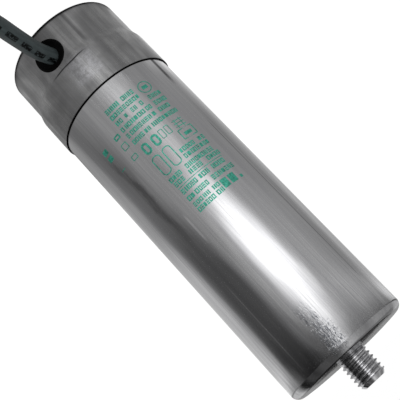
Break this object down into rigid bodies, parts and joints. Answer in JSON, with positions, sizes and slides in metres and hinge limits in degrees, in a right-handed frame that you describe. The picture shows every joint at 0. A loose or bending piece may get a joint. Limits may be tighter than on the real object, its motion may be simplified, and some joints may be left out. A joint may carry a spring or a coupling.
{
  "type": "motor run capacitor",
  "caption": "Round aluminium can capacitor with a threaded mounting stud on its base, a stepped cap and a cable from the cap's side.",
  "frame": {"origin": "middle of the flat closed end of the cap, on which the capacitor stands", "axes": "+Z along the can's axis, from the cap to the stud; the cable leaves the cap's side along -Y"},
  "size_m": [0.0588, 0.1293, 0.1232],
  "materials": {
    "can_aluminium": "bright drawn aluminium with fine lengthwise drawing marks and scuffs near the base",
    "cap_aluminium": "duller drawn aluminium with faint lengthwise streaks",
    "bush_rubber": "smooth black moulded rubber",
    "tie_nylon": "natural nylon",
    "cable_sheath": "satin grey PVC sheath",
    "core_brown_pvc": "brown PVC insulation",
    "core_blue_pvc": "blue PVC insulation",
    "tinned_wire": "tinned copper strands",
    "deck_plastic": "moulded laminate",
    "seal_rubber": "black rubber",
    "tag_brass": "tinned brass strip",
    "rivet_brass": "plain brass",
    "wound_film": "metallised film roll",
    "tube_plastic": "natural polypropylene",
    "sprayed_metal": "rough sprayed zinc",
    "liner_plastic": "natural polypropylene",
    "resin": "cast polyurethane resin"
  },
  "bodies": {
    "root": {"can": "can_aluminium", "cap": "cap_aluminium", "cable_bush": "bush_rubber", "strain_tie": "tie_nylon", "cable_lead": "cable_sheath", "cable_coil": "cable_sheath", "end_core_brown": "core_brown_pvc", "end_core_blue": "core_blue_pvc", "end_conductors": "tinned_wire", "core_brown": "core_brown_pvc", "core_blue": "core_blue_pvc", "core_conductors": "tinned_wire", "deck": "deck_plastic", "deck_seal": "seal_rubber", "tag_brown": "tag_brass", "tag_blue": "tag_brass", "rivets": "rivet_brass", "winding": "wound_film", "winding_tube": "tube_plastic", "near_spray": "sprayed_metal", "far_spray": "sprayed_metal", "near_lead": "tinned_wire", "far_lead": "tinned_wire", "liner_cup": "liner_plastic", "resin_fill": "resin"}
  },
  "joints": []
}
